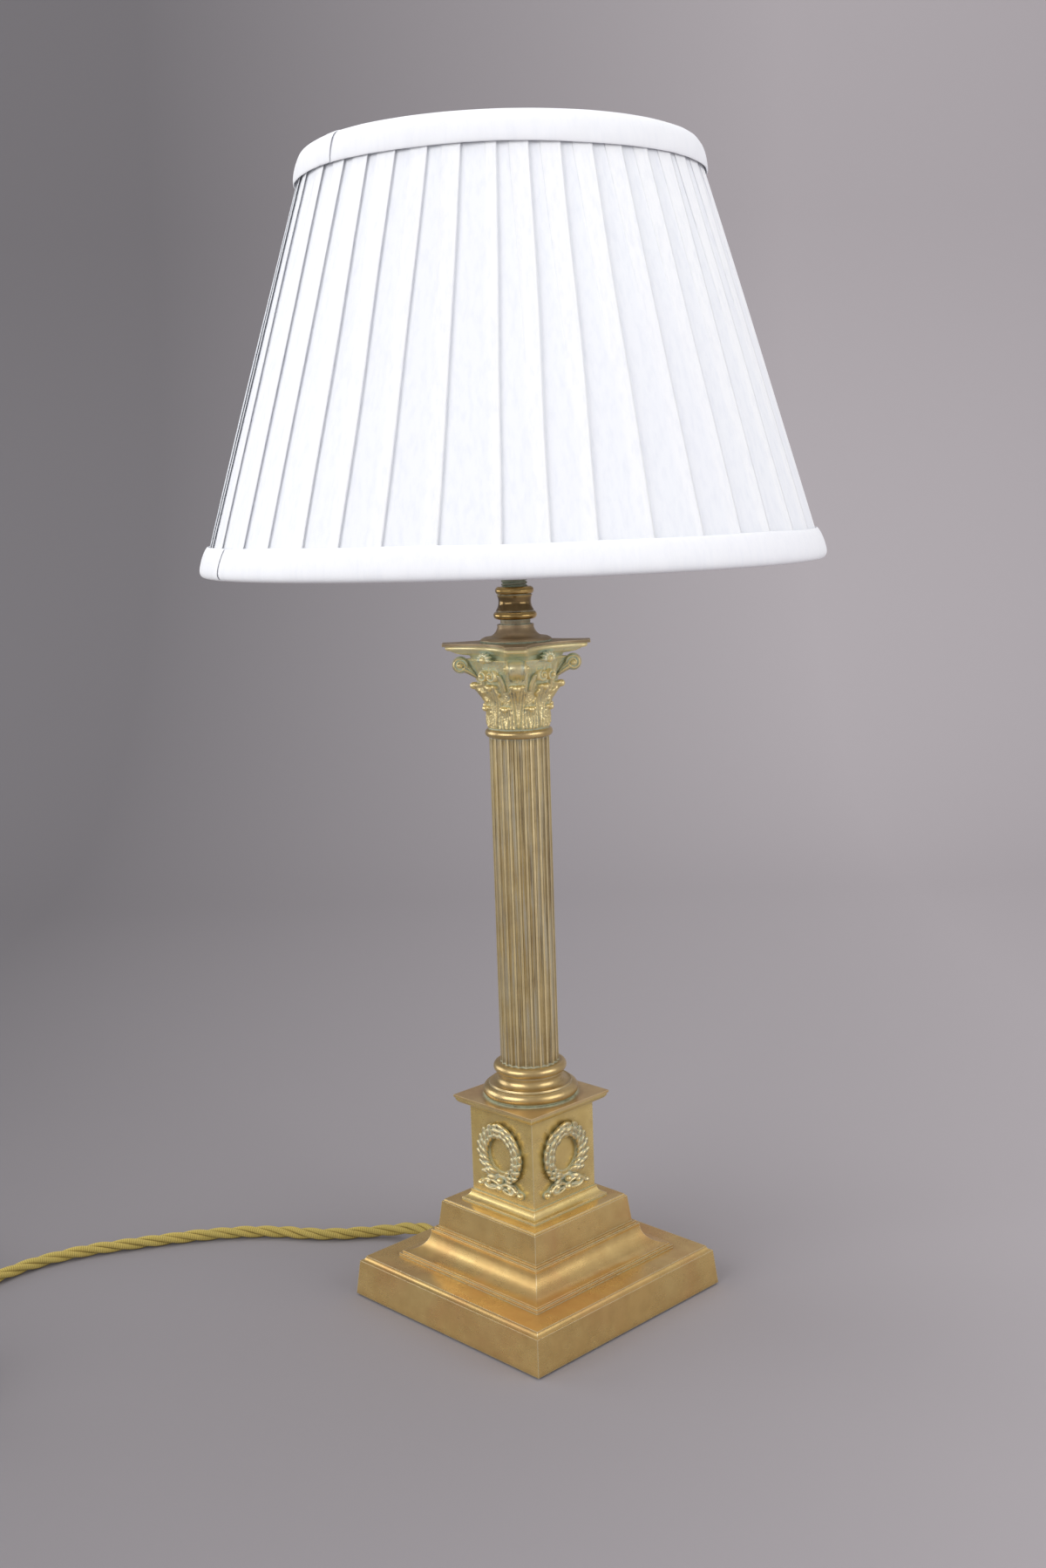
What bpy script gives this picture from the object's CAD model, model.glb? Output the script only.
"""Looks of the column table lamp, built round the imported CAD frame. Metres, as in the frame."""
import bpy
import math
import random
import numpy as np
from mathutils import Matrix, Vector


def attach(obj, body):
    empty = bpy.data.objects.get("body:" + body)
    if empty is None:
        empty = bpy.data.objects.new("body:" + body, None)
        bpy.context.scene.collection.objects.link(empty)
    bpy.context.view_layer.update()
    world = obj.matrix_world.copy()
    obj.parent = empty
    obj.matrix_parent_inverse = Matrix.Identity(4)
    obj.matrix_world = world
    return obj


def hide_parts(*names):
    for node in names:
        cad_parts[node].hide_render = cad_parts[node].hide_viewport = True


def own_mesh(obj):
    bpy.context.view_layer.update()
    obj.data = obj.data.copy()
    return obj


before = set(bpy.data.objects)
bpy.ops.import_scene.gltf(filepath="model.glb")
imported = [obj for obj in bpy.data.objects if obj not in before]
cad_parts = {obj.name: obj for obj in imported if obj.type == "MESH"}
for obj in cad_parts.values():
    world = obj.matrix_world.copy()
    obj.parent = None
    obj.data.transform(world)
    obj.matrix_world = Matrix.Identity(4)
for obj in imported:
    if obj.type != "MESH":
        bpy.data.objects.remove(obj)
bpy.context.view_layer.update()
MM = 0.001

# ---- camera, floor and light
camera = bpy.data.objects.new("camera", bpy.data.cameras.new("camera"))
bpy.context.collection.objects.link(camera)
camera.data.sensor_width = 36
camera.data.sensor_fit = "AUTO"
camera.data.lens = 39.41
camera.data.clip_start = 0.05
camera.data.clip_end = 20
right = Vector((0.7051959, 0.7082713, -0.0324118))
up = Vector((-0.0934594, 0.1381742, 0.9859885))
back = Vector((0.7028258, -0.6922858, 0.1636345))
place = Matrix((right, up, back)).transposed().to_4x4()
place.translation = Vector((0.60206, -0.59148, 0.40827))
camera.matrix_world = place
bpy.context.scene.camera = camera
bpy.context.scene.view_settings.view_transform = "Standard"


def srgb(red, green, blue):
    """An sRGB colour of 0 to 255 as the linear colour that nodes take."""
    linear = []
    for value in (red, green, blue):
        value /= 255
        linear.append(value / 12.92 if value <= 0.04045 else ((value + 0.055) / 1.055) ** 2.4)
    return (*linear, 1)


class Graph:
    """A material's node tree, with short names for the nodes that this file uses most."""

    def __init__(self, name, **surface):
        self.material = bpy.data.materials.new(name)
        self.material.use_nodes = True
        self.tree = self.material.node_tree
        self.tree.nodes.clear()
        self.output = self.tree.nodes.new("ShaderNodeOutputMaterial")
        self.shader = self.tree.nodes.new("ShaderNodeBsdfPrincipled")
        self.link(self.shader.outputs[0], self.output.inputs[0])
        for socket, value in surface.items():
            self.put(self.shader.inputs[socket.replace("_", " ")], value)

    def link(self, source, target):
        self.tree.links.new(source, target)

    def put(self, socket, value):
        """A socket gets a number or colour, or a link from another node's output."""
        if isinstance(value, bpy.types.NodeSocket):
            self.link(value, socket)
        else:
            socket.default_value = value

    def set(self, **surface):
        for socket, value in surface.items():
            self.put(self.shader.inputs[socket.replace("_", " ")], value)

    def node(self, kind, settings=None, **inputs):
        node = self.tree.nodes.new("ShaderNode" + kind)
        for key, value in (settings or {}).items():
            setattr(node, key, value)
        for socket, value in inputs.items():
            by_number = socket[0] == "i" and socket[1:].isdigit()
            self.put(node.inputs[int(socket[1:]) if by_number else socket.replace("_", " ")], value)
        return node

    def math(self, operation, first, second=0.0, clamp=False):
        settings = {"operation": operation, "use_clamp": clamp}
        return self.node("Math", settings, i0=first, i1=second).outputs[0]

    def times(self, first, second, clamp=False):
        return self.math("MULTIPLY", first, second, clamp)

    def plus(self, first, second, clamp=False):
        return self.math("ADD", first, second, clamp)

    def less(self, first, second, clamp=False):
        return self.math("SUBTRACT", first, second, clamp)

    def range(self, value, low, high, to_low=0.0, to_high=1.0):
        return self.node("MapRange", None, Value=value, From_Min=low, From_Max=high, To_Min=to_low,
                         To_Max=to_high).outputs[0]

    def mix(self, factor, first, second):
        node = self.node("Mix", {"data_type": "RGBA"})
        self.put(node.inputs[0], factor)
        self.put(node.inputs[6], first)
        self.put(node.inputs[7], second)
        return node.outputs[2]

    def place(self, scale=(1, 1, 1), turn=(0, 0, 0)):
        """Where a point is on the object, in metres, scaled and turned."""
        where = self.node("TexCoord").outputs["Object"]
        return self.node("Mapping", None, Vector=where, Scale=scale, Rotation=turn).outputs[0]

    def height(self):
        """How high a point is on the object, in metres."""
        where = self.node("TexCoord").outputs["Object"]
        return self.node("SeparateXYZ", None, Vector=where).outputs["Z"]

    def noise(self, scale, detail=3.0, rough=0.55, where=None, twist=0.0):
        return self.node("TexNoise", None, Vector=where or self.place(), Scale=scale, Detail=detail,
                         Roughness=rough, Distortion=twist).outputs[0]

    def bump(self, height, depth, strength=1.0, normal=None):
        """A bump whose height of 0 to 1 stands depth metres deep."""
        node = self.node("Bump", None, Height=height, Distance=depth, Strength=strength)
        if normal:
            self.put(node.inputs["Normal"], normal)
        return node.outputs[0]

    def spaces(self, distance, samples=6):
        """1 in the open and 0 deep in a corner."""
        return self.node("AmbientOcclusion", {"samples": samples}, Distance=distance).outputs["AO"]


def lamp_light(name, where, towards, size, power):
    data = bpy.data.lights.new(name, "AREA")
    data.shape = "RECTANGLE"
    data.size, data.size_y = size
    data.energy = power
    light = bpy.data.objects.new(name, data)
    bpy.context.collection.objects.link(light)
    light.location = where
    light.rotation_euler = (Vector(towards) - Vector(where)).to_track_quat("-Z", "Y").to_euler()


lamp_light("key_light", (-0.1, -2.1, 1.15), (0, 0, 0.3), (2.0, 1.5), 28)
lamp_light("side_light", (2.1, 0.5, 1.1), (0, 0, 0.3), (1.8, 1.5), 21)
lamp_light("fill_light", (-2.0, -0.9, 0.8), (0, 0, 0.35), (1.4, 1.3), 11)
lamp_light("top_light", (-0.3, 0.3, 2.6), (0, 0, 0.2), (2.2, 2.2), 17)

# The camera, mirrors and glass see the backdrop's grey; the rest is lit by a paler studio.
world = bpy.data.worlds.new("studio")
bpy.context.scene.world = world
world.use_nodes = True
tree = world.node_tree
tree.nodes.clear()
seen = tree.nodes.new("ShaderNodeBackground")
seen.inputs[0].default_value = srgb(186, 182, 184)
lit = tree.nodes.new("ShaderNodeBackground")
lit.inputs[0].default_value = (0.97, 0.97, 1.0, 1)
lit.inputs[1].default_value = 0.6
path = tree.nodes.new("ShaderNodeLightPath")
either = path.outputs["Is Camera Ray"]
for ray in ("Is Glossy Ray", "Is Transmission Ray"):
    larger = tree.nodes.new("ShaderNodeMath")
    larger.operation = "MAXIMUM"
    tree.links.new(either, larger.inputs[0])
    tree.links.new(path.outputs[ray], larger.inputs[1])
    either = larger.outputs[0]
pick = tree.nodes.new("ShaderNodeMixShader")
tree.links.new(either, pick.inputs[0])
tree.links.new(lit.outputs[0], pick.inputs[1])
tree.links.new(seen.outputs[0], pick.inputs[2])
tree.links.new(pick.outputs[0], tree.nodes.new("ShaderNodeOutputWorld").inputs[0])


def mesh_piece(name, points, faces, material, body, smooth=True, unit=MM):
    """A mesh object from points in millimetres that rides on a body, with a material and a slot."""
    mesh = bpy.data.meshes.new(name)
    mesh.from_pydata([tuple(point) for point in np.asarray(points, float) * unit], [], faces)
    mesh.polygons.foreach_set("use_smooth", [smooth] * len(mesh.polygons))
    mesh.update()
    piece = bpy.data.objects.new(name, mesh)
    bpy.context.collection.objects.link(piece)
    if material:
        mesh.materials.append(material)
    if body:
        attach(piece, body)
    return piece


def grid_faces(rows, columns, wrap_rows=False, wrap_columns=False, start=0):
    """The quads of a grid of points, row by row."""
    faces = []
    for row in range(rows if wrap_rows else rows - 1):
        for column in range(columns if wrap_columns else columns - 1):
            next_row, next_column = (row + 1) % rows, (column + 1) % columns
            faces.append((start + row * columns + column, start + row * columns + next_column,
                          start + next_row * columns + next_column, start + next_row * columns + column))
    return faces


# The floor runs flat past the lamp and sweeps up behind it.
floor_reach, floor_drop = 3.0, 0.0001
sweep_start, sweep_radius, sweep_top = 0.9, 0.8, 3.2
away, across = Vector((-0.7124, 0.7018, 0)), Vector((0.7018, 0.7124, 0))
sweep = [(-floor_reach, 0.0)]
for turn in range(0, 91, 6):
    tilt = math.radians(turn)
    sweep.append((sweep_start + sweep_radius * math.sin(tilt), sweep_radius - sweep_radius * math.cos(tilt)))
sweep.append((sweep_start + sweep_radius, sweep_top))
points = []
for along, height in sweep:
    for side in (-floor_reach, floor_reach):
        points.append(tuple(away * along + across * side + Vector((0, 0, height - floor_drop))))
graph = Graph("paper", Roughness=0.85)
where = graph.node("TexCoord").outputs["Object"]
sideways = graph.node("VectorMath", {"operation": "DOT_PRODUCT"}, i0=where, i1=tuple(across))
shade = graph.range(sideways.outputs["Value"], -0.5, 0.4)
graph.set(Base_Color=graph.mix(shade, srgb(112, 109, 112), srgb(172, 166, 169)))
floor = mesh_piece("floor", points, grid_faces(len(sweep), 2), graph.material, None, unit=1)

# ---- flex: three twisted strands on one route
coil_start = Vector((-222.0, -243.0, 3.5))
coil_reach = 47.5
coil_half_turns = 12  # inwards for half of them, then outwards on top
coil_narrowing = 3.65  # at each half turn
coil_rise = 7.2
route = [
    (-68.42, 0, 9.2), (-88, 0, 9.2), (-110, -10, 3.5), (-131, -36, 3.5), (-160, -53, 3.5), (-184, -80, 3.5),
    (-203, -111, 3.5), (-219, -140, 3.5), (-227, -172, 3.5), (-222, -206, 3.5)]
coil_steps = 8  # control points to a half turn
outward = 1 / (0.5 * (1 + math.cos(math.pi / coil_steps)))  # the spline cuts inside its points by this much
centre = coil_start.x - coil_reach
reach, x_now, height = coil_reach, coil_reach, coil_start.z
for half in range(coil_half_turns):
    x_next = x_now - 2 * reach * (1 if half % 2 == 0 else -1)
    next_height = height + (coil_rise if half == coil_half_turns // 2 else 0.0)
    middle, radius = (x_now + x_next) / 2, abs(x_next - x_now) / 2 * outward
    for step in range(coil_steps):
        turn = math.pi * (step + 0.5) / coil_steps + (math.pi if half % 2 else 0)
        share = (step + 0.5) / coil_steps
        route.append((centre + middle + radius * math.cos(turn), coil_start.y - radius * math.sin(turn),
                      height + (next_height - height) * share))
    reach += -coil_narrowing if half < coil_half_turns // 2 else coil_narrowing
    x_now, height = x_next, next_height
route += [
    (-222, -261, 10.7), (-215, -278.6, 5.4), (-198, -288, 4.6), (-181, -290, 11.0), (-161.0, -290, 11.0)]
way = bpy.data.curves.new("flex_way", "CURVE")
way.dimensions = "3D"
spline = way.splines.new("NURBS")
spline.points.add(len(route) - 1)
for point, where in zip(spline.points, route):
    point.co = (*(Vector(where) * MM), 1)
spline.order_u = 3
spline.use_endpoint_u = True
spline.resolution_u = 10
carrier = bpy.data.objects.new("flex_way", way)
bpy.context.collection.objects.link(carrier)
walked = bpy.data.meshes.new_from_object(carrier)
line = np.array([vertex.co[:] for vertex in walked.vertices])
bpy.data.objects.remove(carrier)
bpy.data.meshes.remove(walked)


def even_steps(points, step):
    """The same line in even steps."""
    along = np.concatenate([[0], np.cumsum(np.linalg.norm(np.diff(points, axis=0), axis=1))])
    marks = np.linspace(0, along[-1], int(along[-1] / step) + 1)
    return np.stack([np.interp(marks, along, points[:, axis]) for axis in range(3)], 1), marks


def carried_frames(points):
    """Two sideways directions at each point that don't spin as the line bends."""
    ahead = np.gradient(points, axis=0)
    ahead /= np.linalg.norm(ahead, axis=1)[:, None]
    side = np.cross(ahead[0], (0, 0, 1.0))
    sides = []
    for direction in ahead:
        side = side - direction * side.dot(direction)
        side /= np.linalg.norm(side)
        sides.append(side)
    sides = np.array(sides)
    return sides, np.cross(ahead, sides)


def tube_rings(points, radius, sides):
    """The rings of a tube round a line."""
    turns = 2 * np.pi * np.arange(sides) / sides
    cosines, sines = np.cos(turns)[:, None], np.sin(turns)[:, None]
    rings = []
    for point, across, over in zip(points, *carried_frames(points)):
        rings.append(point + radius * (cosines * across + sines * over))
    return np.concatenate(rings)


def add_uv(piece, columns, along, around):
    """A UV map for a tube: u runs round it, from 0 to around, and v along it, in metres."""
    mesh = piece.data
    layer = mesh.uv_layers.new(name="along")
    for polygon in mesh.polygons:
        for corner in polygon.loop_indices:
            vertex = mesh.loops[corner].vertex_index
            column, row = vertex % columns, vertex // columns
            others = [mesh.loops[other].vertex_index % columns for other in polygon.loop_indices]
            if column == 0 and columns - 1 in others:
                column = columns
            layer.data[corner].uv = (around * column / columns, along[row])


flex_radius = 0.0033
strand_radius = 0.00166
lay_pitch = 0.040
route_step = 0.0016
line, marks = even_steps(line, route_step)
across, over = carried_frames(line)
strand_sides = 10
points, faces, rows = [], [], []
for strand in range(3):
    turns = 2 * np.pi * (marks / lay_pitch + strand / 3)
    wobble = 1 + 0.05 * np.sin(marks * 83 + strand * 2.1) + 0.04 * np.sin(marks * 211 + strand)
    offset = (flex_radius - strand_radius) * wobble
    strand_line = line + offset[:, None] * (np.cos(turns)[:, None] * across + np.sin(turns)[:, None] * over)
    start = strand * len(line) * strand_sides
    points.append(tube_rings(strand_line, strand_radius, strand_sides))
    skin = grid_faces(len(line), strand_sides, wrap_columns=True, start=start)
    faces += [tuple(reversed(face)) for face in skin]
    faces.append(tuple(range(start, start + strand_sides)))
    last = start + (len(line) - 1) * strand_sides
    faces.append(tuple(reversed(range(last, last + strand_sides))))
    rows += list(marks)

graph = Graph("gold_braid", Roughness=0.62, Sheen_Weight=0.35, Sheen_Roughness=0.4, Specular_IOR_Level=0.35)
graph.set(Sheen_Tint=srgb(240, 210, 120))
uv = graph.node("UVMap", {"uv_map": "along"}).outputs[0]
plait = None
for slant in (1, -1):
    run = graph.node("Mapping", None, Vector=uv, Scale=(8.0, 900 * slant, 1)).outputs[0]
    parts = graph.node("SeparateXYZ", None, Vector=run)
    phase = graph.times(graph.plus(parts.outputs[0], parts.outputs[1]), math.pi)
    wave = graph.math("SINE", phase)
    plait = wave if plait is None else graph.times(plait, wave)
threads = graph.range(plait, -1, 1)
patch = graph.noise(60, 4)
colour = graph.mix(graph.range(threads, 0.2, 0.9), srgb(156, 134, 58), srgb(224, 202, 116))
colour = graph.mix(graph.range(patch, 0.4, 0.75, 0, 0.4), colour, srgb(172, 160, 92))
graph.set(Base_Color=graph.mix(graph.range(graph.spaces(0.0016), 0.2, 0.9), srgb(104, 84, 34), colour))
graph.set(Normal=graph.bump(threads, 0.00022, 0.8))
points = np.concatenate(points)
flex = mesh_piece("twisted_flex", points, faces, graph.material, "stand", unit=1)
add_uv(flex, strand_sides, rows, 6.0)
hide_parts("cord_run", "cord_coil", "cord_tail")

# ---- shade: pleated cover, folded trims, lining
rim, shade_height = 376.7, 192.6
bottom_radius, top_radius = 150.4, 92.4
slope = math.atan2(bottom_radius - top_radius, shade_height)


def shade_radius(height, inset=0.0):
    """The cone's radius at a height, moved in square to its side by the inset. Millimetres."""
    return bottom_radius - (height - rim) * math.tan(slope) - inset / math.cos(slope)


def round_point(turn, radius, height):
    return (radius * math.cos(turn), radius * math.sin(turn), height)


def thicken(piece, thickness, offset):
    """Cloth of a thickness in metres: behind the sheet at offset -1, and on both its sides at 0."""
    cloth = piece.modifiers.new("cloth", "SOLIDIFY")
    cloth.thickness = thickness
    cloth.offset = offset


def ripple(*phases):
    """A smooth uneven wave between about -1 and 1."""
    return sum(math.sin(phase + index * 1.7) for index, phase in enumerate(phases)) / len(phases)


# Where the folds lie, in degrees round the shade, at its rim and top: the seen ones, then the rest.
folds_low = [-99.0, -91.1, -82.2, -74.6, -66.5, -56.8, -46.3, -38.4, -30.6, -20.7, -10.9, -2.3, 5.8]
folds_high = [-98.4, -89.0, -80.4, -71.7, -62.7, -54.1, -45.2, -37.2, -28.9, -20.5, -11.9, -3.2, 6.5]
draw = random.Random(7)
pleats = 40
widths = [1 + draw.uniform(-0.12, 0.12) for _ in range(pleats - len(folds_low) + 1)]
span = 360 + folds_low[0] - folds_low[-1]
for width in widths[:-1]:
    folds_low.append(folds_low[-1] + width * span / sum(widths))
    folds_high.append(folds_low[-1] + draw.uniform(-1.0, 1.0))
tucks_low = [5.0 + draw.uniform(-0.8, 1.2) for _ in range(pleats)]  # how deep each fold is tucked under, mm
tucks_high = [9.5 + draw.uniform(-1.4, 0.8) for _ in range(pleats)]
tucks_high[6] = 5.2  # one tuck is short, and the single cloth beside it shows as a wedge

cloth_foot, cloth_head = rim + 1.0, rim + shade_height - 1.0
cloth_rows = 44
flat_steps = [0, 0.12, 0.25, 0.4, 0.52, 0.64, 0.76, 0.87, 0.95, 1.0]
tuck_section = [  # share of the tuck back from the fold, and inset in millimetres
    (0.012, 1.02), (0.05, 1.2), (0.5, 1.28), (0.985, 1.36), (1.0, 1.5), (0.985, 1.64), (0.5, 1.78),
    (0.08, 1.98)]
points, layered = [], []
for row in range(cloth_rows):
    share = row / (cloth_rows - 1)
    height = cloth_foot + share * (cloth_head - cloth_foot)
    free = math.sin(math.pi * share)  # 0 under the trims, 1 at mid height
    ends = []
    for pleat in range(pleats):
        wander = 0.22 * free * ripple(5.1 * share + pleat * 2.3, 9.0 * share + pleat)
        ends.append(folds_low[pleat] + share * (folds_high[pleat] - folds_low[pleat]) + wander)
    for pleat in range(pleats):
        begin = ends[pleat - 1] - (360 if pleat == 0 else 0)
        end = ends[pleat]
        radius = shade_radius(height)
        tuck = tucks_low[pleat] + share * (tucks_high[pleat] - tucks_low[pleat])
        tuck = min(math.degrees(tuck / radius), 0.94 * (end - begin))
        puff = 0.35 * free * (1 + 0.6 * ripple(pleat * 3.1, 7 * share + pleat * 1.3))
        for step in flat_steps:
            turn = begin + step * (end - begin)
            over = min(1, max(0, (turn - (end - tuck)) / (0.14 * tuck) + 0.5))
            sag = math.sin(math.pi * step) * 0.18
            inset = 2.15 - 1.25 * step ** 0.9 - 0.25 * over * (1 - step) + sag - puff * (0.4 + 0.6 * step)
            points.append((turn, inset, height))
            layered.append(over)
        for back, inset in tuck_section:
            points.append((end - back * tuck, inset - puff * 0.6, height))
            layered.append(1.0)
columns = len(points) // cloth_rows
placed = [round_point(math.radians(turn), shade_radius(height, inset), height)
          for turn, inset, height in points]


def cloth_material(name, single, double, layers=None, lines=0.4):
    """White cotton voile: a fine weave, faint slubs, a soft sheen and bluish shade where one layer shows."""
    graph = Graph(name, Roughness=0.9, Specular_IOR_Level=0.25, Sheen_Weight=0.15, Sheen_Roughness=0.5)
    colour = double
    if layers:
        over = graph.node("Attribute", {"attribute_name": layers}).outputs["Fac"]
        colour = graph.mix(over, single, double)
    slub = graph.noise(1, 3, 0.6, graph.place((420, 420, 22)))
    colour = graph.mix(graph.range(slub, 0.45, 0.8, 0, lines), colour, srgb(220, 224, 234))
    cloud = graph.noise(14, 2)
    colour = graph.mix(graph.range(cloud, 0.4, 0.75, 0, 0.2), colour, srgb(236, 236, 244))
    graph.set(Base_Color=colour)
    fine = graph.noise(1, 2, 0.5, graph.place((2600, 2600, 900)))
    graph.set(Normal=graph.bump(graph.plus(graph.times(fine, 0.6), slub), 0.00008, 0.6))
    return graph.material


voile = cloth_material("pleated_voile", srgb(241, 243, 247), srgb(246, 247, 249), "layers")
faces = grid_faces(cloth_rows, columns, wrap_columns=True)
cover = mesh_piece("pleated_cover", placed, faces, voile, "shade")
attribute = cover.data.attributes.new("layers", "FLOAT", "POINT")
attribute.data.foreach_set("value", layered)
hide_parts("shade_pleats")


def trim(name, section, level, sign, seam, columns, seed, node):
    """A folded band round a rim, its end lapped over its start. The section is (inset, off the rim)."""
    lap = lap_length / shade_radius(level)
    points = []
    count = len(section)
    for column in range(columns + 1):
        turn = (2 * math.pi + lap) * column / columns
        over = min(1, max(0, (turn - 2 * math.pi + 0.004) / 0.012))
        angle = math.radians(seam) + turn
        for index, (inset, off) in enumerate(section):
            around = angle * shade_radius(level)
            outer = 1 if index < count / 2 else 0.2
            long_waves = ripple(around / 9.0 + seed, around / 5.3 + off / 4, around / 17 + seed * 2)
            pucker = 0.22 * long_waves * outer
            pucker += 0.12 * ripple(around / 3.1 + off / 2.5, around / 2.2 - off / 3) * outer
            edge = 0.35 * ripple(around / 13 + seed, around / 31) if index == 0 else 0
            from_end = turn if turn < 3 else turn - 2 * math.pi - lap
            near = math.exp(-(from_end * shade_radius(level) / 3.0) ** 2)
            lapped = 0.6 * over * (1 if index < count - 3 else -0.6)
            inset_here = inset - pucker - lapped - 0.25 * near * outer
            height = level + sign * (off + edge)
            points.append(round_point(angle, shade_radius(height, inset_here), height))
    faces = grid_faces(columns + 1, count)
    if sign > 0:
        faces = [tuple(reversed(face)) for face in faces]
    band = mesh_piece(name, points, faces, trim_cloth, "shade")
    thicken(band, 0.0005, -1)
    smooth = band.modifiers.new("smooth", "SUBSURF")
    smooth.levels = smooth.render_levels = 1
    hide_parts(node)


lap_length = 10.0
trim_cloth = cloth_material("trim_cotton", None, srgb(242, 243, 246), lines=0.25)
fold = [(0.2, 14.0), (-0.35, 12.9), (-0.85, 10.5), (-1.1, 7.5), (-1.05, 4.5), (-0.6, 2.0), (0.6, 0.5),
        (2.5, 0.05), (5.0, 0.05), (7.0, 0.7), (7.9, 2.2), (8.0, 5.0), (7.8, 8.0)]
trim("bottom_trim", fold, rim, 1, -109.0, 260, 1.0, "shade_bottom_trim")
trim("top_trim", fold, rim + shade_height, -1, -100.0, 200, 4.0, "shade_top_trim")

lining_foot, lining_head, lining_inset = 382.2, 565.3, 6.75
points = []
lining_rows, lining_columns = 12, 240
for row in range(lining_rows):
    height = lining_foot + row * (lining_head - lining_foot) / (lining_rows - 1)
    for column in range(lining_columns):
        turn = 2 * math.pi * column / lining_columns
        free = math.sin(math.pi * row / (lining_rows - 1))
        inset = lining_inset + 0.2 * free * ripple(turn * 40, turn * 13 + row * 0.3)
        points.append(round_point(turn, shade_radius(height, inset), height))
lining_cloth = cloth_material("lining_cotton", None, srgb(240, 240, 240), lines=0.3)
faces = grid_faces(lining_rows, lining_columns, wrap_columns=True)
lining = mesh_piece("lining", points, faces, lining_cloth, "shade")
thicken(lining, 0.0006, 0)
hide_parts("shade_lining")

# ---- finishes of the metal and the small parts


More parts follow.
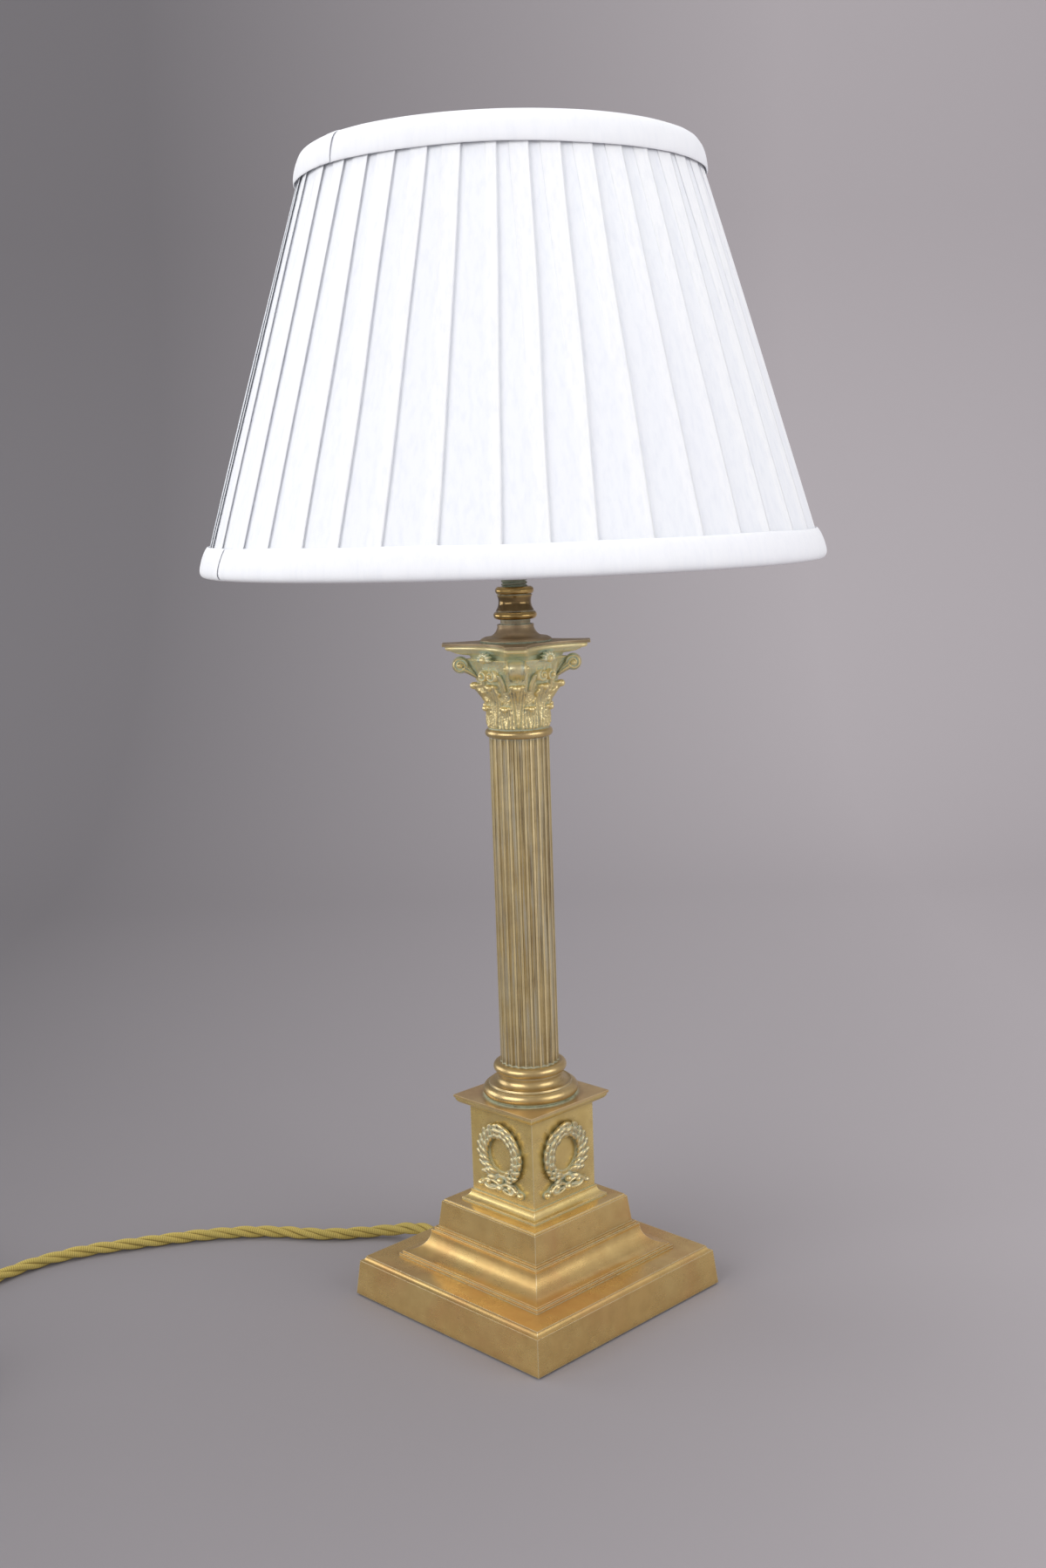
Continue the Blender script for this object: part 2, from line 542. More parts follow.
def brass(name, body, worn, dull, rough=(0.26, 0.42), crust=0.0, crust_from=0.0016,
          crust_colour=(176, 186, 160), stain=None, stain_share=0.0, grain=0.000008, edge=0.35, spots=0.0,
          bloom=None, frost=0.0, metallic=0.8, dirt=0.55, crown=0.0, streaks=0.0, band=None):
    """Old brass: dull tarnish in clouds, grime and pale residue in the corners, brighter edges."""
    graph = Graph(name)
    broad = graph.noise(26, 4, 0.6)
    fine = graph.noise(240, 5, 0.65)
    broad_fine = graph.noise(90, 4, 0.6)
    scratch = graph.noise(1, 4, 0.7, graph.place((160, 160, 1400)))
    colour = graph.mix(graph.range(broad, 0.35, 0.68), srgb(*worn), srgb(*body))

    def lay(share, tint):
        """Lays a tint over the colour so far."""
        nonlocal colour
        colour = graph.mix(share, colour, srgb(*tint))

    lay(graph.range(broad_fine, 0.40, 0.72, 0, 0.5), dull)
    if stain:
        blotch = graph.noise(17, 5, 0.62, twist=0.6)
        lay(graph.range(blotch, 0.5, 0.72, 0, stain_share), stain)
    if frost:
        patch = graph.range(graph.noise(95, 5, 0.75, twist=0.8), 0.50, 0.62, 0, frost)
        pale = graph.times(patch, graph.range(fine, 0.40, 0.60))
        lay(pale, (176, 178, 170))
        pits = graph.range(graph.noise(130, 5, 0.8, graph.place(turn=(1, 2, 3))), 0.56, 0.64, 0, frost)
        dark = graph.times(pits, graph.range(fine, 0.40, 0.55))
        lay(dark, (84, 78, 66))
    if streaks:
        run = graph.noise(1, 3, 0.6, graph.place((620, 620, 22)))
        sheltered = graph.range(graph.spaces(0.0022), 0.99, 0.80)
        pale = graph.times(graph.range(run, 0.48, 0.58, 0, streaks), sheltered)
        lay(pale, (226, 222, 200))
        stripe = graph.noise(1, 3, 0.6, graph.place((480, 480, 16), (0.4, 0.2, 1.0)))
        brown = graph.times(graph.range(stripe, 0.56, 0.66, 0, streaks), sheltered)
        lay(brown, (112, 92, 66))
    if band:
        low, high, band_colour, share = band
        rise = graph.height()
        soft = 0.0012
        inside = graph.times(graph.range(rise, low, low + soft), graph.range(rise, high, high - soft))
        lay(graph.times(inside, share), band_colour)
    tone = graph.range(broad, 0.3, 0.7, *rough)
    tone = graph.plus(tone, graph.range(scratch, 0.4, 0.8, -0.02, 0.05))
    rounded = graph.node("Bevel", {"samples": 4}, Radius=0.00028)
    metal = metallic
    if edge:
        broad_edge = graph.node("Bevel", {"samples": 10}, Radius=0.0008)
        turned = graph.node("VectorMath", {"operation": "DOT_PRODUCT"}, i0=broad_edge.outputs[0],
                            i1=graph.node("NewGeometry").outputs["Normal"]).outputs["Value"]
        bright = graph.range(turned, 0.995, 0.86, 0, edge)
        lay(bright, (252, 240, 200))
    grime = graph.range(graph.spaces(0.004), 0.35, 0.95)
    lay(graph.times(graph.less(1.0, grime), dirt), (98, 78, 44))
    if bloom:
        low, high, bloom_colour, share = bloom
        rise = graph.height()
        drift = graph.times(graph.less(graph.noise(70, 4, 0.7), 0.5), 0.026)
        veil = graph.range(graph.plus(rise, drift), low, high, 0, share)
        shelter = graph.range(graph.spaces(0.003), 0.60, 1.0, 1, 0.42)
        veil = graph.times(veil, shelter, clamp=True)
        lay(veil, bloom_colour)
    if crust:
        corner = graph.range(graph.spaces(crust_from, 8), 0.40, 0.86, 1, 0)
        ragged = graph.range(graph.noise(420, 4, 0.7), 0.24, 0.50)
        cover = graph.times(graph.times(corner, ragged), crust, clamp=True)
        tint = graph.mix(graph.noise(90, 3), srgb(*crust_colour), srgb(206, 208, 190))
        colour = graph.mix(cover, colour, tint)
        tone = graph.plus(tone, graph.times(cover, 0.45), clamp=True)
        metal = graph.less(metallic, graph.times(cover, 0.58), clamp=True)
        if bloom:
            metal = graph.less(metal, graph.times(veil, 0.5), clamp=True)
    if crown:
        high_spot = graph.range(graph.node("NewGeometry").outputs["Pointiness"], 0.503, 0.545, 0, crown)
        lay(high_spot, (248, 228, 166))
    if spots:
        speck = graph.node("TexVoronoi", None, Vector=graph.place(), Scale=260.0).outputs["Distance"]
        some = graph.range(graph.noise(60, 2), 0.55, 0.62)
        pick = graph.times(graph.range(speck, 0.10, 0.03), some)
        lay(graph.times(pick, spots, clamp=True), (70, 52, 30))
    height = graph.plus(graph.times(fine, 0.35), graph.times(scratch, 0.5))
    graph.set(Base_Color=colour, Roughness=tone, Metallic=metal,
              Normal=graph.bump(height, grain, 0.7, rounded.outputs[0]))
    return graph.material


def dress(material, *nodes):
    """A CAD node keeps its shape and takes a better finish."""
    for node in nodes:
        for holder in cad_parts[node].material_slots:
            holder.material = material


dress(brass("base_brass", (218, 183, 118), (227, 197, 131), (191, 155, 96), crust=0.9, crust_from=0.0009,
            crust_colour=(186, 184, 150), stain=(204, 148, 98), stain_share=0.55, spots=0.6,
            rough=(0.2, 0.34), edge=0.7),
      "base_slab", "base_moulding", "plinth_block")
dress(brass("die_brass", (231, 205, 131), (245, 220, 152), (205, 175, 109), rough=(0.2, 0.36), crust=1.0,
            crust_from=0.0016, crust_colour=(178, 190, 150), stain=(192, 146, 100), stain_share=0.25,
            edge=0.8, spots=0.8),
      "die_foot_moulding", "pedestal_die", "die_cornice")
dress(brass("plate_brass", (215, 186, 131), (227, 199, 145), (191, 157, 109), crust=0.9, crust_from=0.0025,
            crust_colour=(200, 208, 180), stain=(184, 134, 98), stain_share=0.6),
      "pedestal_cap_plate")
dress(brass("turned_brass", (194, 168, 112), (214, 189, 136), (154, 129, 86), rough=(0.24, 0.38), crust=1.2,
            crust_from=0.0018, crust_colour=(196, 206, 184), edge=0.2),
      "column_base", "astragal_ring")
dress(brass("shaft_brass", (212, 185, 124), (239, 218, 164), (170, 144, 97), rough=(0.3, 0.46), crust=1.6,
            crust_from=0.0012, crust_colour=(206, 202, 176), stain=(134, 110, 84), stain_share=0.45,
            edge=0.9, streaks=1.0, dirt=0.85),
      "column_shaft")
dress(brass("dark_brass", (170, 149, 116), (186, 165, 127), (141, 120, 100), rough=(0.34, 0.5), crust=1.0,
            crust_from=0.0020, crust_colour=(176, 200, 180), stain=(140, 112, 98), stain_share=0.4,
            edge=0.4),
      "abacus_plate", "vase_cap")
dress(brass("bush_brass", (185, 155, 97), (225, 192, 123), (139, 112, 72), rough=(0.1, 0.2), crust=0.9,
            crust_from=0.0010, crust_colour=(222, 228, 214), edge=0.1, grain=0.00001, metallic=1.0,
            band=(0.3535, 0.3622, (96, 80, 62), 0.7)),
      "neck_bush")
dress(brass("holder_brass", (220, 184, 109), (229, 195, 120), (199, 160, 90), rough=(0.2, 0.3), edge=0.2),
      "holder_cap", "holder_body", "holder_skirt", "bulb_cap")
dress(brass("contact_brass", (223, 190, 118), (229, 197, 124), (203, 169, 98), rough=(0.2, 0.3), edge=0.1),
      "contact_plungers", "terminal_screws", "plug_pins", "plug_cover_screw", "tie_nut")


def plain(name, colour, other, scale, depth, **surface):
    """A moulded, cast or coated part: two near tones in clouds and a fine surface."""
    graph = Graph(name, **surface)
    cloud = graph.noise(scale, 4)
    graph.set(Base_Color=graph.mix(graph.range(cloud, 0.35, 0.7), srgb(*colour), srgb(*other)),
              Normal=graph.bump(graph.noise(scale * 9, 3), depth, 0.6,
                                graph.node("Bevel", {"samples": 4}, Radius=0.0003).outputs[0]))
    return graph.material


dress(plain("cast_iron", (58, 55, 54), (78, 70, 64), 120, 0.0003, Roughness=0.75, Metallic=0.6),
      "base_weight")
dress(plain("fibreboard", (122, 102, 76), (140, 118, 88), 300, 0.0001, Roughness=0.9), "base_card")
steel_finish = plain("plated_steel", (176, 176, 178), (156, 156, 160), 200, 0.00002, Roughness=0.3,
                     Metallic=1.0)
dress(steel_finish, "tie_washer", "plunger_springs", "bulb_filament")
dress(plain("cream_moulding", (222, 214, 190), (212, 202, 176), 90, 0.00002, Roughness=0.3, Coat_Weight=0.3),
      "holder_insulator", "shade_clamp_ring", "bulb_contacts")
dress(plain("black_moulding", (30, 28, 28), (42, 38, 36), 90, 0.00002, Roughness=0.28), "switch_bar")
dress(plain("white_epoxy", (232, 232, 230), (222, 222, 220), 90, 0.00005, Roughness=0.4),
      "shade_bottom_ring", "shade_top_ring", "shade_ribs", "shade_fitter")
dress(plain("brown_rubber", (38, 30, 26), (52, 42, 36), 150, 0.00003, Roughness=0.7), "cord_grommet")
dress(plain("brown_plastic", (48, 34, 28), (60, 44, 36), 80, 0.00003, Roughness=0.3, Coat_Weight=0.2),
      "plug_cover", "plug_base")
dress(plain("inner_braid", (176, 148, 70), (150, 122, 52), 700, 0.0003, Roughness=0.8), "inner_flex")
graph = Graph("pearl_glass", Base_Color=srgb(246, 244, 236), Roughness=0.35, Transmission_Weight=0.55,
              IOR=1.45, Specular_IOR_Level=0.5)
graph.set(Normal=graph.bump(graph.noise(900, 2), 0.00002, 0.3))
dress(graph.material, "bulb_glass")

# The felt under the base, cut square with its corners rounded.
half, corner = 63.7, 2.4  # millimetres
outline = []
for quarter in range(4):
    for step in range(5):
        turn = math.radians(90 * quarter + 22.5 * step)
        shift = Matrix.Rotation(math.radians(90 * quarter), 2) @ Vector((half - corner, half - corner))
        outline.append((shift.x + corner * math.cos(turn), shift.y + corner * math.sin(turn)))
points, rings = [], [(0.999, 1.6), (1.0, 1.45), (1.0, 0.15), (0.999, 0.0)]
for scale, height in rings:
    points += [(x * scale, y * scale, height) for x, y in outline]
faces = [tuple(reversed(face)) for face in grid_faces(len(rings), len(outline), wrap_columns=True)]
faces.append(tuple(range(len(outline))))
faces.append(tuple(reversed(range(3 * len(outline), 4 * len(outline)))))
graph = Graph("green_felt", Roughness=0.95, Sheen_Weight=0.5, Sheen_Roughness=0.6)
nap = graph.noise(1500, 4, 0.7)
graph.set(Base_Color=graph.mix(nap, srgb(24, 58, 36), srgb(52, 92, 60)), Normal=graph.bump(nap, 0.0002, 0.8))
felt = mesh_piece("felt_sheet", points, faces, graph.material, "stand", smooth=False)
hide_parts("felt_pad")

# The tie tube's bare thread, between the neck bush and the lampholder.
tube_radius, bore_radius, pitch, thread_depth = 6.36, 4.6, 1.6, 0.95
thread_foot, tube_foot, tube_top = 364.0, 12.6, 391.4
levels = [tube_foot, thread_foot - 0.4] + list(np.arange(thread_foot, tube_top - 0.1, pitch / 8))
points, sides = [], 48
for height in levels:
    for side in range(sides):
        turn = 2 * math.pi * side / sides
        phase = (height / pitch - side / sides) % 1
        cut = thread_depth * (1 - min(1, abs(2 * phase - 1) * 1.7)) if thread_foot <= height else 0
        points.append(round_point(turn, tube_radius - cut, height))
for radius, height in ((tube_radius - 0.6, tube_top), (bore_radius, tube_top), (bore_radius, tube_foot)):
    points += [round_point(2 * math.pi * side / sides, radius, height) for side in range(sides)]
faces = grid_faces(len(levels) + 3, sides, wrap_columns=True, wrap_rows=True)
thread_brass = brass("thread_brass", (150, 154, 136), (176, 182, 162), (118, 114, 94), rough=(0.4, 0.55),
                     crust=1.3, crust_from=0.0010, crust_colour=(168, 196, 170), edge=0)
tube = mesh_piece("threaded_tube", points, faces, thread_brass, "stand")
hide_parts("tie_tube")

# ---- capital: leaves, scrolls, flowers and abacus


def circle(count):
    """The cosine and sine of even steps round a turn."""
    turns = [math.radians(360 / count * step) for step in range(count)]
    return [(math.cos(turn), math.sin(turn)) for turn in turns]


class Heap:
    """Closed grids of points gathered into one mesh."""

    def __init__(self):
        self.points, self.faces = [], []

    def grid(self, rows, caps=True, flip=False):
        """Closed rows of equally many points, joined by quads, with the first and last row capped."""
        start, count = len(self.points), len(rows[0])
        for row in rows:
            self.points += [tuple(point) for point in row]
        faces = grid_faces(len(rows), count, wrap_columns=True, start=start)
        if caps:
            faces.append(tuple(reversed(range(start, start + count))))
            faces.append(tuple(range(start + (len(rows) - 1) * count, start + len(rows) * count)))
        self.faces += [tuple(reversed(face)) for face in faces] if flip else faces

    def ball(self, centre, radius, squash=1.0):
        rows = []
        for level in range(1, 8):
            tilt = math.pi * level / 8
            reach, drop = radius * math.sin(tilt), radius * squash * math.cos(tilt)
            rows.append([Vector(centre) + Vector((reach * cos, reach * sin, -drop))
                         for cos, sin in circle(12)])
        self.grid(rows)

    def piece(self, name, material, body, slot):
        return mesh_piece(name, self.points, self.faces, material, body)


def polar(angle, out, height, side=0.0):
    """A point at a distance out along an angle in degrees, shifted sideways."""
    turn = math.radians(angle)
    cos, sin = math.cos(turn), math.sin(turn)
    return (out * cos - side * sin, out * sin + side * cos, height)


def ease(value, low, high):
    share = np.clip((value - low) / (high - low), 0, 1)
    return share * share * (3 - 2 * share)


def leaf_relief(across, rise, lobes, depth, lift):
    """How far a leaf stands off the bell: across is -1 to 1, rise is 0 at its foot and 1 at its tip."""
    edge = (0.98 - 0.34 * np.abs(rise) ** 2.4) * (1 - 0.20 * np.abs(np.sin(lobes * np.pi * rise)) ** 2)
    inside = ease(edge - np.abs(across), 0.0, 0.12) * ease(rise, 1.04, 0.97) * ease(rise, -0.05, 0.02)
    veins = np.cos(2 * np.pi * (3.0 * np.abs(across) / (1.1 - 0.5 * rise) - 1.4 * rise))
    rib = np.exp(-(across / 0.10) ** 2)
    return inside * (depth + lift * ease(rise, 0.55, 1.0) + 0.45 * veins * (1 - 0.4 * rise) + 0.5 * rib)


capital_foot, bell_height, capital_bore = 297.7, 33.9, 12.0
levels = np.linspace(0, bell_height, 112)
angle, level = np.meshgrid(np.arange(0, 360, 1.0), levels)
off_corner = (angle % 90) - 45
bell_out = np.interp(level, [0, 8, 14, 18, 22, 27, 31, 34], [14.3, 14.7, 15.2, 15.9, 16.8, 18.0, 19.6, 20.8])
corner_out = np.interp(level, [10, 18, 22, 28, 34], [0, 1.5, 2.2, 3.4, 4.4])
bell_out = bell_out + corner_out * np.exp(-(off_corner / 13) ** 2)
stalks = 0.55 * np.cos(np.radians(angle * 24)) * ease(level, 17, 21) * ease(level, 33, 28)
low_leaves = leaf_relief(((angle % 45) - 22.5) / 18.5, level / 10.6, 3, 0.95, 1.0)
high_leaves = leaf_relief((((angle + 22.5) % 45) - 22.5) / 20.5, (level - 1) / 20.6, 5, 0.75, 2.6)
rough_cast = np.random.default_rng(5).normal(0, 0.12, level.shape)
bell = bell_out + np.maximum(np.maximum(low_leaves, high_leaves), stalks) + rough_cast


def bell_ring(radii, height):
    return [(radius * cos, radius * sin, capital_foot + height)
            for radius, (cos, sin) in zip(radii, circle(len(radii)))]


def on_capital(angle, out, level, side=0.0):
    return polar(angle, out, capital_foot + level, side)


heap = Heap()
bore = [capital_bore] * len(bell[0])
heap.grid([bell_ring(bore, 0)] + [bell_ring(radii, height) for radii, height in zip(bell, levels)]
          + [bell_ring(bore, bell_height)])


def tip(angle, out, level, size, wing):
    """A leaf's curled end: a bead with a smaller one at each side."""
    heap.ball(on_capital(angle, out, level), size, 0.92)
    for hand in (-1, 1):
        beside = on_capital(angle, out - size * 0.45, level + size * 0.25, hand * size * 1.15)
        heap.ball(beside, wing)


for step in range(8):
    tip(22.5 + 45 * step, 17.4, 9.9, 1.6, 0.9)
    corner_leaf = step % 2
    tip(45 * step, 21.6 if corner_leaf else 19.6, 20.6, 2.0 if corner_leaf else 1.8, 1.1)

# Each corner has a fluted bracket that rises off the leaves, and a drum with a spiral on each end.
# Points of the bracket's upper and lower edge are (out, level).
upper = [(16.8, 17.5), (17.7, 20.5), (18.8, 23.4), (20.2, 26.2), (22.0, 28.8), (24.2, 31.2), (26.6, 33.2),
         (28.4, 34.4)]
lower = [(14.0, 17.5), (15.0, 19.5), (16.2, 21.6), (17.6, 23.2), (19.4, 24.6), (21.6, 25.9), (24.0, 27.2),
         (26.6, 28.4)]
eye_out, eye_level, drum, half_width = 27.8, 31.0, 3.75, 4.3
scroll_level, scroll_side, scroll_radius = 26.4, 2.9, 2.75
flower_level = 34.4


def bracket_side(angle, top, bottom, width, hand):
    """One fluted side of a bracket's section, from its top edge down at hand 1 and up at hand -1."""
    side = []
    for cross in range(13):
        share = cross / 12 if hand > 0 else 1 - cross / 12
        flute = 0.5 * math.cos(2 * math.pi * 2.5 * share) - 0.9 * max(0, 1 - share / 0.12) ** 2
        side.append(on_capital(angle, top[0] + (bottom[0] - top[0]) * share,
                          top[1] + (bottom[1] - top[1]) * share, hand * (width + flute)))
    return side


def bracket_section(angle, top, bottom, width):
    """A section of a bracket: one side, the ridged underside, the other side and the crowned top."""
    loop = bracket_side(angle, top, bottom, width, 1)
    for cross in range(1, 10):
        over = 1 - cross / 5
        ridge = 0.5 * (1 - over * over) + 0.35 * math.cos(4 * math.pi * over)
        loop.append(on_capital(angle, bottom[0] + 0.5 * ridge, bottom[1] - 0.9 * ridge,
                          over * (width - 0.3)))
    loop += bracket_side(angle, top, bottom, width, -1)
    for cross in range(1, 6):
        over = -1 + cross / 3
        bulge = 0.7 * (1 - over * over) + 0.25 * math.cos(2 * math.pi * over)
        loop.append(on_capital(angle, top[0] - 0.5 * bulge, top[1] + bulge * 0.9,
                          over * (width - 0.4)))
    return loop


def drum_end(angle, hand):
    """The rings of a drum's end from its eye out, with a spiral raised on them."""
    rings = []
    for share in np.linspace(0.08, 0.97, 14):
        rings.append([])
        for step, (cos, sin) in enumerate(circle(36)):
            wind = 0.5 + 0.5 * math.cos(2 * math.pi * (share * drum / 1.5 - step / 36))
            high_side = half_width - 0.7 + 1.1 * wind + 0.5 * (1 - share)
            rings[-1].append(on_capital(angle, eye_out + drum * share * cos,
                                   eye_level + drum * share * sin, hand * high_side))
    return rings


def small_scroll(angle, hand):
    """The small scroll beside the middle of a face, its spiral to the front, and the stem that feeds it."""
    rows = []
    for share in np.linspace(0, 0.97, 12)[1:]:
        rows.append([])
        reach = scroll_radius * share
        for step, (cos, sin) in enumerate(circle(30)):
            wind = 0.5 + 0.5 * math.cos(2 * math.pi * (share * 1.9 - step / 30))
            rows[-1].append(on_capital(angle, 20.6 + 0.9 * wind + 0.9 * (1 - share),
                                  scroll_level + reach * sin, hand * (scroll_side + reach * cos)))
    rows.append([on_capital(angle, 16.0, scroll_level + scroll_radius * sin,
                       hand * (scroll_side + scroll_radius * cos)) for cos, sin in circle(30)])
    heap.grid(rows, flip=hand > 0)
    heap.ball(on_capital(angle, 22.2, scroll_level, hand * scroll_side), 1.1)
    rows = []
    for share in np.linspace(0, 1, 14):
        side, height = 6.8 - 1.4 * share ** 2, 18.5 + 8.4 * share
        out = float(np.interp(height, levels, bell_out[:, 0])) + 0.4 + 0.9 * share - side * side / 34
        wide = 0.9 + 0.7 * share
        rows.append([on_capital(angle, out + 1.3 * sin, height, hand * (side + wide * cos))
                     for cos, sin in circle(8)])
    heap.grid(rows, flip=hand < 0)


def flower(angle):
    """The flower on a side of the abacus: petals over a bud."""
    for petal in range(7):
        turn = math.radians(-96 + 32 * petal)
        rows = []
        for along in range(9):
            share = along / 8
            wide = 1.15 * math.sin(math.pi * (0.15 + 0.8 * share)) + 0.15
            out = 20.4 + 2.3 * math.sin(math.pi * (0.08 + 0.66 * share))
            side, height = 4.6 * share * math.sin(turn), flower_level + 3.6 * share * math.cos(turn)
            rows.append([on_capital(angle, out + 0.9 * stand * (1 if stand > 0 else 2.2),
                               height - wide * over * math.sin(turn),
                               side + wide * over * math.cos(turn)) for over, stand in circle(12)])
        heap.grid(rows)
    heap.ball(on_capital(angle, 22.8, flower_level), 1.9)


for step in range(4):
    corner_angle, face_angle = 45 + 90 * step, 90 * step
    heap.grid([bracket_section(corner_angle, top, bottom, 1.7 + 2.4 * min(1, index / 6))
               for index, (top, bottom) in enumerate(zip(upper, lower))], flip=True)
    rows = drum_end(corner_angle, -1)
    for over in np.linspace(-0.9, 0.9, 9):
        crown = drum * (1.12 - 0.26 * over * over)
        rows.append([on_capital(corner_angle, eye_out + crown * cos, eye_level + crown * sin,
                           over * half_width) for cos, sin in circle(36)])
    rows += list(reversed(drum_end(corner_angle, 1)))
    heap.grid(rows, flip=True)
    for hand in (-1, 1):
        heap.ball(on_capital(corner_angle, eye_out, eye_level, hand * 4.9), 1.5, 0.8)
        small_scroll(face_angle, hand)
    flower(face_angle)


abacus_cut = 10.4  # the width of each cut corner


def abacus_edge(corner, waist, height):
    """Four hollow sides between cut corners, at a height: points in one turn."""
    edge = []
    for quarter in range(4):
        middle = 45 + 90 * quarter
        for step in range(9):
            over = -1 + step / 4
            out = corner - 0.5 * over ** 4 + 0.3 * (1 - over * over)
            edge.append(polar(middle, out, height, over * abacus_cut / 2))
        near = Vector(polar(middle, corner - 0.5, height, abacus_cut / 2))
        far = Vector(polar(middle + 90, corner - 0.5, height, -abacus_cut / 2))
        hollow = Vector(polar(middle + 45, waist, height)) - (near + far) / 2
        for step in range(1, 20):
            share = -1 + step / 10
            edge.append(tuple((near + far) / 2 + (far - near) / 2 * share + hollow * (1 - share * share)))
    return edge


# The abacus's moulding from its foot up: (level, corner's reach, waist's reach).
mould = [(33.2, 21.5, 17.4), (36.0, 23.0, 17.8), (36.5, 27.0, 18.8), (37.0, 29.6, 19.5), (37.7, 31.4, 20.1),
         (38.3, 32.4, 20.4), (38.6, 34.2, 21.0), (39.2, 34.8, 21.3), (39.9, 34.8, 21.3), (40.45, 34.0, 21.0)]
heap.grid([abacus_edge(corner, waist, capital_foot + level) for level, corner, waist in mould])
capital_brass = brass("capital_brass", (240, 216, 150), (252, 234, 176), (214, 190, 132), rough=(0.28, 0.42),
                      crust=0.8, crust_from=0.0024, crust_colour=(180, 204, 182), edge=0.6,
                      bloom=(0.3165, 0.3315, (216, 236, 214), 0.85), frost=0.8, dirt=0.3, crown=0.9)
capital = heap.piece("carved_capital", capital_brass, "stand", "brass_capital")
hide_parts("capital")

# ---- laurel wreaths with bows on the pedestal
heap = Heap()
face_out, wreath_level, wide, tall = 22.2, 80.7, 11.6, 12.0
leaf_section = ((-1, -1.3), (-1, -0.1), (-0.55, 0.5), (-0.14, 0.35), (0, 0.65), (0.14, 0.35), (0.55, 0.5),
                (1, -0.1), (1, -1.3))
ribbon_thickness = 0.8
ribbon_section = ((-1, -1.2), (-1, 0.2), (-0.75, 0.75), (0, 1), (0.75, 0.75), (1, 0.2), (1, -1.2))


def on_face(quarter, side, height, lift):
    """A point over one of the die's four faces: side to the right, height up, lift off the face."""
    return polar(90 * quarter, face_out + lift, height, side)


def ribbon(quarter, way, width, lifts):
    """A band along (side, height) points on a face."""
    rows = []
    last = len(way) - 1
    for index, (side, height) in enumerate(way):
        lift = lifts(index / last)
        before, after = way[max(0, index - 1)], way[min(last, index + 1)]
        ahead = Vector((after[0] - before[0], after[1] - before[1])).normalized()
        rows.append([on_face(quarter, side - ahead.y * over * width / 2, height + ahead.x * over * width / 2,
                             lift + stand * ribbon_thickness * (1.6 if stand < 0 else 1))
                     for over, stand in ribbon_section])
    heap.grid(rows, flip=True)


def laurel_leaf(quarter, hand, foot, ahead, length, leaf_width, raised):
    """A leaf from its foot, along a direction on the face."""
    rows = []
    for index in range(9):
        share = index / 8
        broad = leaf_width * (math.sin(math.pi * (0.06 + 0.9 * share)) ** 0.75) + 0.05
        lift = 0.9 + 1.9 * math.sin(math.pi * 0.62 * share) + raised
        rows.append([])
        for over, stand in leaf_section:
            side = foot[0] + ahead.x * length * share + ahead.y * over * broad
            height = foot[1] + ahead.y * length * share - ahead.x * over * broad
            rows[-1].append(on_face(quarter, hand * side, height, lift + stand * 0.8))
    heap.grid(rows, flip=hand < 0)


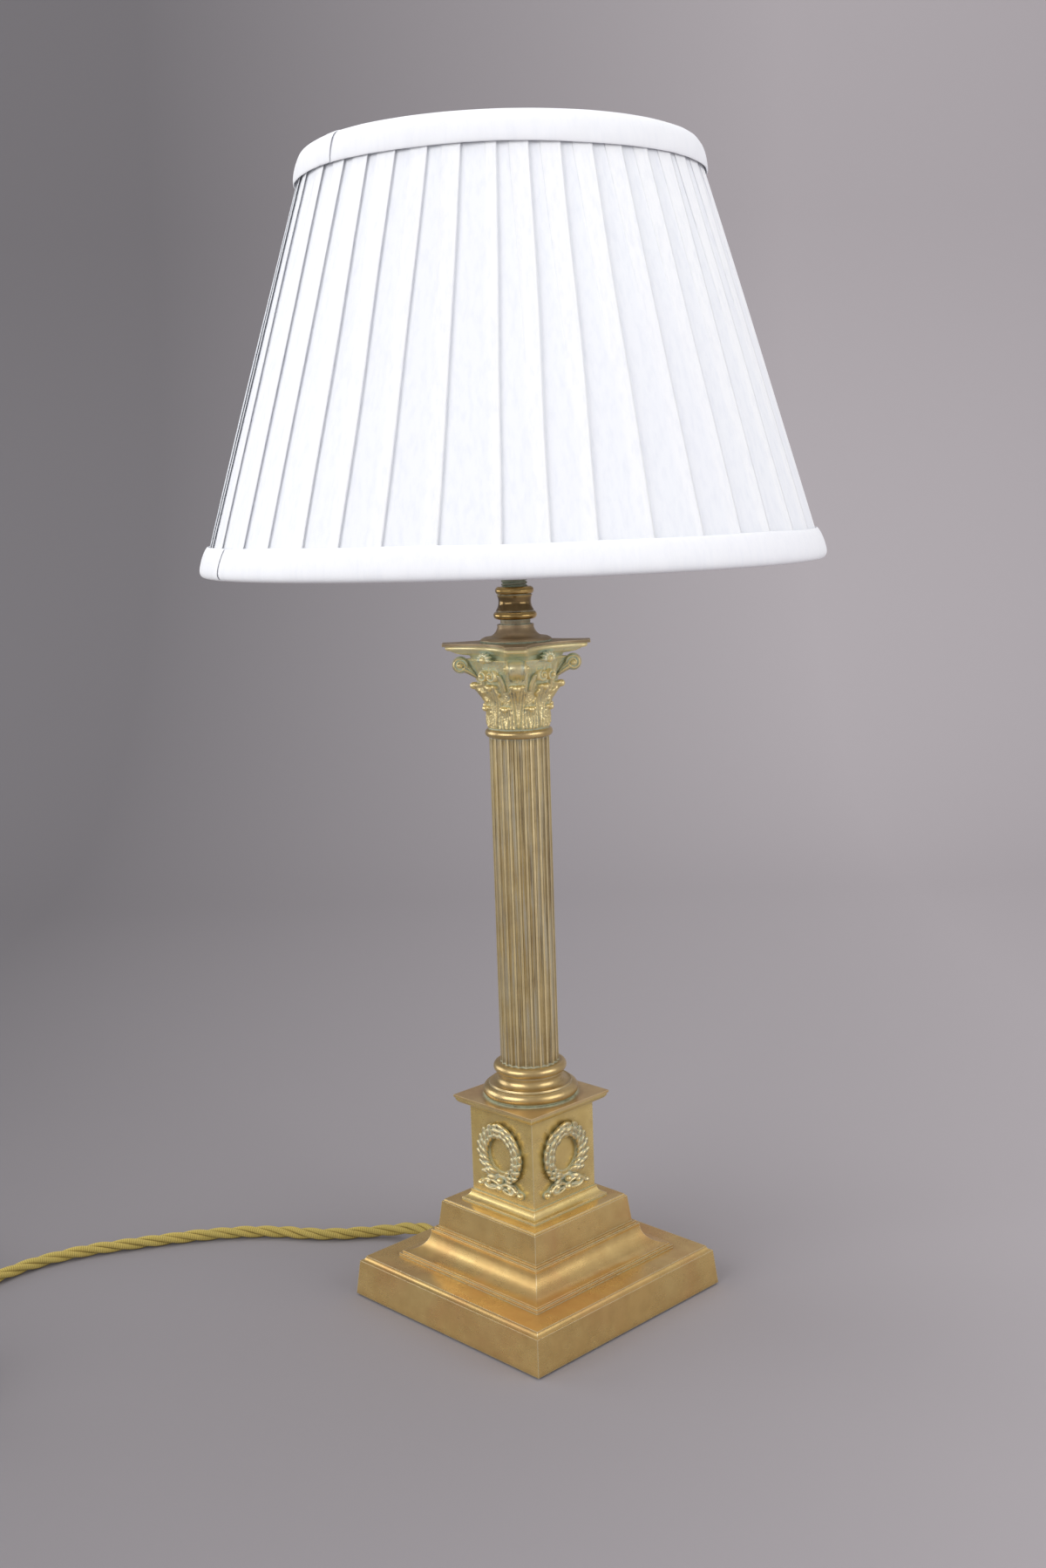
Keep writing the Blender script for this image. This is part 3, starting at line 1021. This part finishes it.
chance = random.Random(12)
for quarter in range(4):
    rows = []
    for cos_round, sin_round in circle(60):
        rows.append([on_face(quarter, (wide + 1.8 * over) * sin_round,
                             wreath_level - (tall + 1.8 * over) * cos_round, 1.0 * stand)
                     for over, stand in circle(8)])
    heap.grid(rows + [rows[0]], caps=False)
    for hand in (-1, 1):
        for cluster in range(9):
            for across, splay in ((-1, -10), (0, 0), (1, 12)):
                along = (cluster + 0.35 * (across == 0)) / 9
                around = math.radians(14 + 160 * along) + chance.uniform(-0.03, 0.03)
                swell = 1 + 0.30 * along
                foot = ((wide + across * 1.45 * swell) * math.sin(around),
                        wreath_level - (tall + across * 1.45 * swell) * math.cos(around))
                ahead = Vector((math.cos(around), math.sin(around) * tall / wide)).normalized()
                turn = math.radians(splay + chance.uniform(-7, 7))
                ahead = Vector((ahead.x * math.cos(turn) + ahead.y * math.sin(turn),
                                ahead.y * math.cos(turn) - ahead.x * math.sin(turn)))
                length = (5.6 + 1.4 * along) * chance.uniform(0.9, 1.08)
                leaf_width = 1.25 * swell * chance.uniform(0.9, 1.1)
                laurel_leaf(quarter, hand, foot, ahead, length, leaf_width, 0.35 * (across == 0))
        # The bow's loops and tails, with knots along them.
        loop = [(hand * (0.6 + 5.2 * (1 - cos)), 64.0 + 2.3 * sin * (1 - 0.2 * cos))
                for cos, sin in circle(24) + circle(24)[:1]]
        ribbon(quarter, loop, 1.5, lambda share: 1.4 + 0.9 * math.sin(math.pi * share))
        tail = [(hand * (1.0 + 14.2 * share), 63.2 - 0.9 * math.sin(2.4 * math.pi * share) - 0.6 * share)
                for share in np.linspace(0, 1, 22)]
        ribbon(quarter, tail, 2.3, lambda share: 1.0 + 0.6 * math.cos(4 * math.pi * share))
        heap.ball(on_face(quarter, hand * 14.3, 62.8, 1.5), 1.9, 0.8)
        heap.ball(on_face(quarter, hand * 7.6, 65.2, 2.3), 1.5, 0.9)
        heap.ball(on_face(quarter, hand * 11.6, 64.2, 1.8), 1.3, 0.9)
    heap.ball(on_face(quarter, 0.2, 63.4, 1.7), 2.4, 0.85)
    heap.ball(on_face(quarter, 0.5, 67.6, 2.2), 1.9, 0.85)
wreath_brass = brass("wreath_brass", (222, 200, 142), (246, 228, 174), (186, 164, 114), rough=(0.26, 0.4),
                     crust=1.9, crust_from=0.0026, crust_colour=(206, 214, 198), edge=0.7, frost=0.9,
                     crown=0.25, dirt=0.9)
heap.piece("pedestal_wreaths", wreath_brass, "stand", "brass_pedestal")

# ---- the plungers' springs, which squash with them
heap = Heap()
spring_foot, spring_top, spring_radius, wire_radius, spring_turns = 409.8, 412.8, 1.6, 0.25, 2.0
for centre in (-4.6, 4.6):
    rows = []
    for step in range(61):
        share = step / 60
        around = 2 * math.pi * spring_turns * share
        height = spring_foot + 0.4 + (spring_top - spring_foot - 0.8) * share
        rows.append([(centre + (spring_radius + wire_radius * over) * math.cos(around),
                      (spring_radius + wire_radius * over) * math.sin(around), height + wire_radius * stand)
                     for over, stand in circle(8)])
    heap.grid(rows, flip=True)
springs = heap.piece("plunger_coils", steel_finish, "stand", "steel")
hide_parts("plunger_springs")
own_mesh(springs)
